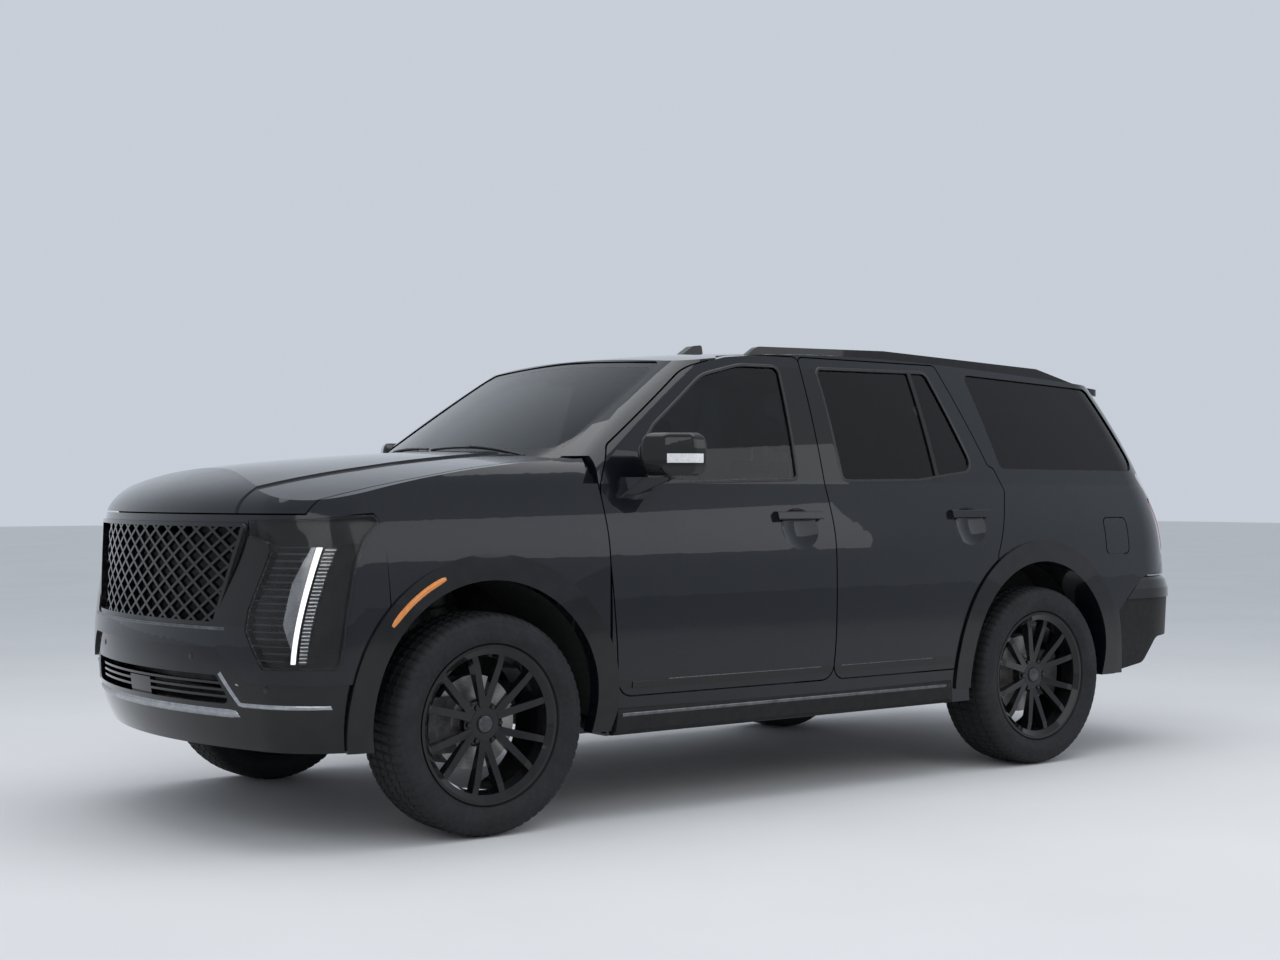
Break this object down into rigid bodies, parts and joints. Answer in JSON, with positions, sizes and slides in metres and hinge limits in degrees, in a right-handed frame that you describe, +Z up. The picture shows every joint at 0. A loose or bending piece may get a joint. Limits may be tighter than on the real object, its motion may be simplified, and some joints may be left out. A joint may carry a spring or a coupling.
{
  "type": "large three-row sport utility vehicle",
  "caption": "Large black sport utility vehicle with a lattice grille, hinged doors, hood and liftgate, and steering and rolling wheels.",
  "frame": {"origin": "on the ground, below the middle of the bounding box", "axes": "+X rearward, +Y to the vehicle's right, +Z up"},
  "size_m": [5.3806, 2.3644, 1.9707],
  "materials": {
    "body_paint": "gloss",
    "trim_gloss": "gloss",
    "trim_matte": "satin",
    "bumper_shell": "gloss",
    "glass_tint": "gloss",
    "lamp_front": "gloss",
    "lens_clear": "gloss",
    "lamp_rear": "gloss",
    "tyre": "matte",
    "rim": "gloss",
    "brake_iron": "brushed",
    "chassis_steel": "satin",
    "cast_parts": "rough",
    "alloy": "cast",
    "exhaust_steel": "brushed",
    "tank_plastic": "matte",
    "floor_metal": "matte",
    "cabin_plastic": "matte",
    "seat_leather": "satin",
    "liner_felt": "matte"
  },
  "bodies": {
    "root": {"arch_liners": "liner_felt", "arch_mouldings": "trim_gloss", "body_sides": "body_paint", "chassis_frame": "chassis_steel", "cowl": "trim_matte", "dashboard": "cabin_plastic", "engine_block": "alloy", "exhaust": "exhaust_steel", "floor_pan": "floor_metal", "front_bumper": "bumper_shell", "front_bumper_lower": "trim_gloss", "front_fenders": "body_paint", "front_seats": "seat_leather", "front_suspension": "cast_parts", "fuel_tank": "tank_plastic", "grille": "trim_gloss", "headlamp_lenses": "lens_clear", "headlamps": "lamp_front", "middle_seats": "seat_leather", "quarter_glass": "glass_tint", "rear_bench": "seat_leather", "rear_bumper": "bumper_shell", "rear_suspension": "cast_parts", "roof_antenna": "trim_gloss", "roof_panel": "body_paint", "roof_rails": "trim_matte", "running_boards": "trim_matte", "spare_wheel": "tyre", "tail_lamps": "lamp_rear", "transmission": "alloy", "windscreen": "glass_tint"},
    "knuckle_left": {"knuckle_left": "cast_parts"},
    "mirror_left": {"mirror_head_left": "trim_gloss"},
    "front_wheel_left": {"tyre_front_left": "tyre", "rim_front_left": "rim", "brake_disc_front_left": "brake_iron"},
    "front_door_left": {"front_door_left": "body_paint", "front_door_glass_left": "glass_tint"},
    "rear_wheel_left": {"tyre_rear_left": "tyre", "rim_rear_left": "rim", "brake_disc_rear_left": "brake_iron"},
    "rear_door_left": {"rear_door_left": "body_paint", "rear_door_glass_left": "glass_tint"},
    "knuckle_right": {"knuckle_right": "cast_parts"},
    "mirror_right": {"mirror_head_right": "trim_gloss"},
    "front_wheel_right": {"tyre_front_right": "tyre", "rim_front_right": "rim", "brake_disc_front_right": "brake_iron"},
    "front_door_right": {"front_door_right": "body_paint", "front_door_glass_right": "glass_tint"},
    "rear_wheel_right": {"tyre_rear_right": "tyre", "rim_rear_right": "rim", "brake_disc_rear_right": "brake_iron"},
    "rear_door_right": {"rear_door_right": "body_paint", "rear_door_glass_right": "glass_tint"},
    "hood": {"hood": "body_paint"},
    "liftgate": {"liftgate": "body_paint", "liftgate_glass": "glass_tint"},
    "fuel_door": {"fuel_door": "body_paint"},
    "steering_wheel": {"steering_wheel": "cabin_plastic"}
  },
  "joints": [
    {"name": "steer_left", "type": "hinge", "parent": "root", "child": "knuckle_left", "pos_m": [-1.706, -0.816, 0.417], "axis": [0, 0, 1], "range_deg": [-35, 35]},
    {"name": "front_wheel_spin_left", "type": "hinge", "parent": "knuckle_left", "child": "front_wheel_left", "pos_m": [-1.706, -0.8685, 0.417], "axis": [0, 1, 0], "continuous": true},
    {"name": "rear_wheel_spin_left", "type": "hinge", "parent": "root", "child": "rear_wheel_left", "pos_m": [1.365, -0.8685, 0.417], "axis": [0, 1, 0], "continuous": true},
    {"name": "front_door_hinge_left", "type": "hinge", "parent": "root", "child": "front_door_left", "pos_m": [-1.16, -1.021, 0.9], "axis": [0, 0, -1], "range_deg": [0, 68]},
    {"name": "rear_door_hinge_left", "type": "hinge", "parent": "root", "child": "rear_door_left", "pos_m": [0.009, -1.021, 0.9], "axis": [0, 0, -1], "range_deg": [0, 72]},
    {"name": "mirror_fold_left", "type": "hinge", "parent": "front_door_left", "child": "mirror_left", "pos_m": [-0.88, -1, 1.4], "axis": [0, 0, 1], "range_deg": [0, 60]},
    {"name": "steer_right", "type": "hinge", "parent": "root", "child": "knuckle_right", "pos_m": [-1.706, 0.816, 0.417], "axis": [0, 0, 1], "range_deg": [-35, 35]},
    {"name": "front_wheel_spin_right", "type": "hinge", "parent": "knuckle_right", "child": "front_wheel_right", "pos_m": [-1.706, 0.8685, 0.417], "axis": [0, 1, 0], "continuous": true},
    {"name": "rear_wheel_spin_right", "type": "hinge", "parent": "root", "child": "rear_wheel_right", "pos_m": [1.365, 0.8685, 0.417], "axis": [0, 1, 0], "continuous": true},
    {"name": "front_door_hinge_right", "type": "hinge", "parent": "root", "child": "front_door_right", "pos_m": [-1.16, 1.021, 0.9], "axis": [0, 0, 1], "range_deg": [0, 68]},
    {"name": "rear_door_hinge_right", "type": "hinge", "parent": "root", "child": "rear_door_right", "pos_m": [0.009, 1.021, 0.9], "axis": [0, 0, 1], "range_deg": [0, 72]},
    {"name": "mirror_fold_right", "type": "hinge", "parent": "front_door_right", "child": "mirror_right", "pos_m": [-0.88, 1, 1.4], "axis": [0, 0, -1], "range_deg": [0, 60]},
    {"name": "hood_hinge", "type": "hinge", "parent": "root", "child": "hood", "pos_m": [-1.288, 0, 1.412], "axis": [0, 1, 0], "range_deg": [0, 48]},
    {"name": "liftgate_hinge", "type": "hinge", "parent": "root", "child": "liftgate", "pos_m": [2.139, 0, 1.846], "axis": [0, -1, 0], "range_deg": [0, 82]},
    {"name": "fuel_door_hinge", "type": "hinge", "parent": "root", "child": "fuel_door", "pos_m": [1.859, -0.986, 1.067], "axis": [0, 0, -1], "range_deg": [0, 95]},
    {"name": "steering_wheel_turn", "type": "hinge", "parent": "root", "child": "steering_wheel", "pos_m": [-0.735, -0.39, 1.153], "axis": [0.9144, 0, 0.4049], "range_deg": [-490, 490]}
  ],
  "couplings": [
    {"joint": "steer_right", "follows": "steer_left", "ratio": 1},
    {"joint": "steering_wheel_turn", "follows": "steer_left", "ratio": 14}
  ]
}
